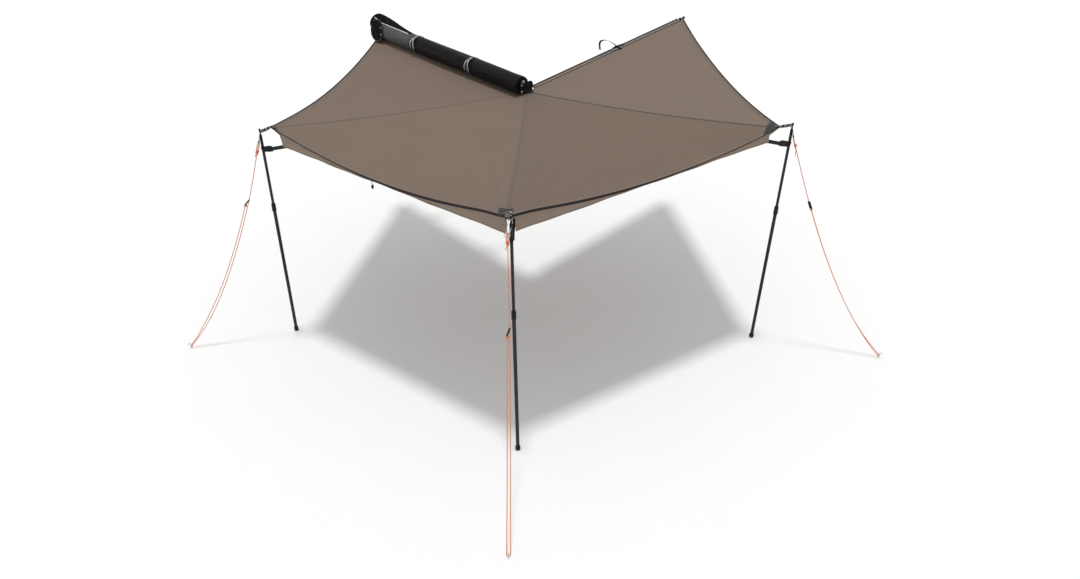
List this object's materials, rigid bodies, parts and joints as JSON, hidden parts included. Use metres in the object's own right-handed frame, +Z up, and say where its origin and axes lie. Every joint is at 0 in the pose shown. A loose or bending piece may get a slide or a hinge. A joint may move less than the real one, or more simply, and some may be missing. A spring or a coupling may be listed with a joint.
{
  "type": "vehicle side awning",
  "caption": "Fan-shaped vehicle side awning on rack brackets, with hinged arms, folding telescopic legs, a canopy, rolled bag and staked guy ropes.",
  "frame": {"origin": "middle of the rear rack bracket's foot, on the underside that rests on the crossbar", "axes": "+X inboard along the crossbar, +Y forward along the back rail, +Z up"},
  "size_m": [4.7248, 4.776, 2.1675],
  "materials": {
    "coated_steel": "satin black powder coat",
    "dark_alloy": "charcoal anodised",
    "bright_steel": "zinc plated",
    "black_nylon": "moulded, fine texture",
    "foot_rubber": "matt black",
    "bag_sheeting": "coated cover cloth, soft sheen",
    "webbing": "woven strap",
    "canvas": "taupe woven canopy cloth, matt",
    "guy_cord": "braided orange cord"
  },
  "bodies": {
    "frame": {"back_rail": "dark_alloy", "bracket_rear": "coated_steel", "bracket_front": "coated_steel", "hub_plate_lower": "coated_steel", "hub_plate_upper": "coated_steel", "hub_pin": "bright_steel", "bag_roll": "bag_sheeting", "bag_strap_1": "webbing", "bag_strap_2": "webbing", "bag_buckle_1": "black_nylon", "bag_buckle_2": "black_nylon", "canopy_1": "canvas"},
    "arm_1": {"arm_1": "dark_alloy", "corner_joint_1": "black_nylon", "post_1": "coated_steel", "fold_pin_1": "bright_steel", "corner_strap_1": "webbing", "clip_1": "bright_steel", "rope_1": "guy_cord", "tensioner_1": "black_nylon", "peg_1": "bright_steel", "canopy_2": "canvas"},
    "arm_2": {"arm_2": "dark_alloy", "corner_joint_2": "black_nylon", "post_2": "coated_steel", "fold_pin_2": "bright_steel", "corner_strap_2": "webbing", "clip_2": "bright_steel", "rope_2": "guy_cord", "tensioner_2": "black_nylon", "peg_2": "bright_steel", "canopy_3": "canvas"},
    "arm_3": {"arm_3": "dark_alloy", "corner_joint_3": "black_nylon", "post_3": "coated_steel", "fold_pin_3": "bright_steel", "corner_strap_3": "webbing", "clip_3": "bright_steel", "rope_3": "guy_cord", "tensioner_3": "black_nylon", "peg_3": "bright_steel", "canopy_4": "canvas"},
    "arm_4": {"arm_4": "dark_alloy", "arm_cap_4": "black_nylon", "tie_down": "webbing"},
    "leg_1_upper": {"leg_knuckle_1": "black_nylon", "leg_inner_1": "dark_alloy"},
    "leg_1_lower": {"leg_outer_1": "dark_alloy", "leg_foot_1": "foot_rubber"},
    "leg_1_collar": {"leg_collar_1": "black_nylon"},
    "leg_2_upper": {"leg_knuckle_2": "black_nylon", "leg_inner_2": "dark_alloy"},
    "leg_2_lower": {"leg_outer_2": "dark_alloy", "leg_foot_2": "foot_rubber"},
    "leg_2_collar": {"leg_collar_2": "black_nylon"},
    "leg_3_upper": {"leg_knuckle_3": "black_nylon", "leg_inner_3": "dark_alloy"},
    "leg_3_lower": {"leg_outer_3": "dark_alloy", "leg_foot_3": "foot_rubber"},
    "leg_3_collar": {"leg_collar_3": "black_nylon"}
  },
  "joints": [
    {"name": "swing_1", "type": "hinge", "parent": "frame", "child": "arm_1", "pos_m": [-0.12, -0.64, -0.088], "axis": [0, 0, 1], "range_deg": [-63.35, 0], "deforming": ["canopy_1"]},
    {"name": "swing_2", "type": "hinge", "parent": "arm_1", "child": "arm_2", "pos_m": [-0.12, -0.64, -0.06], "axis": [0, 0, 1], "range_deg": [-64.25, 0], "deforming": ["canopy_2"]},
    {"name": "swing_3", "type": "hinge", "parent": "arm_2", "child": "arm_3", "pos_m": [-0.12, -0.64, -0.032], "axis": [0, 0, 1], "range_deg": [-64.95, 0], "deforming": ["canopy_3"]},
    {"name": "swing_4", "type": "hinge", "parent": "arm_3", "child": "arm_4", "pos_m": [-0.12, -0.64, -0.004], "axis": [0, 0, 1], "range_deg": [-66.15, 0], "deforming": ["canopy_4"]},
    {"name": "leg_fold_1", "type": "hinge", "parent": "arm_1", "child": "leg_1_upper", "pos_m": [-2.01651, 0.15138, -0.088], "axis": [0.3856, 0.9223, 0.0279], "range_deg": [-91.34, 0]},
    {"name": "leg_slide_1", "type": "slide", "parent": "leg_1_upper", "child": "leg_1_lower", "axis": [-0.0108, 0.0348, -0.9993], "range_m": [-0.4, 0]},
    {"name": "collar_twist_1", "type": "hinge", "parent": "leg_1_lower", "child": "leg_1_collar", "pos_m": [-2.04788, 0.16447, -0.08721], "axis": [0.0108, -0.0348, 0.9993], "range_deg": [-90, 0]},
    {"name": "leg_fold_2", "type": "hinge", "parent": "arm_2", "child": "leg_2_upper", "pos_m": [-1.58824, -2.07781, -0.06], "axis": [-0.6996, 0.7145, 0.0012], "range_deg": [-91.84, 0]},
    {"name": "leg_slide_2", "type": "slide", "parent": "leg_2_upper", "child": "leg_2_lower", "axis": [-0.0238, -0.0216, -0.9995], "range_m": [-0.4, 0]},
    {"name": "collar_twist_2", "type": "hinge", "parent": "leg_2_lower", "child": "leg_2_collar", "pos_m": [-1.61252, -2.10158, -0.05891], "axis": [0.0238, 0.0216, 0.9995], "range_deg": [-90, 0]},
    {"name": "leg_fold_3", "type": "hinge", "parent": "arm_3", "child": "leg_3_upper", "pos_m": [0.6548, -2.54334, -0.032], "axis": [-0.926, -0.3773, 0.0122], "range_deg": [-88.71, 0]},
    {"name": "leg_slide_3", "type": "slide", "parent": "leg_3_upper", "child": "leg_3_lower", "axis": [-0.0198, 0.0162, -0.9997], "range_m": [-0.4, 0]},
    {"name": "collar_twist_3", "type": "hinge", "parent": "leg_3_lower", "child": "leg_3_collar", "pos_m": [0.66762, -2.57482, -0.03277], "axis": [0.0198, -0.0162, 0.9997], "range_deg": [-90, 0]}
  ]
}
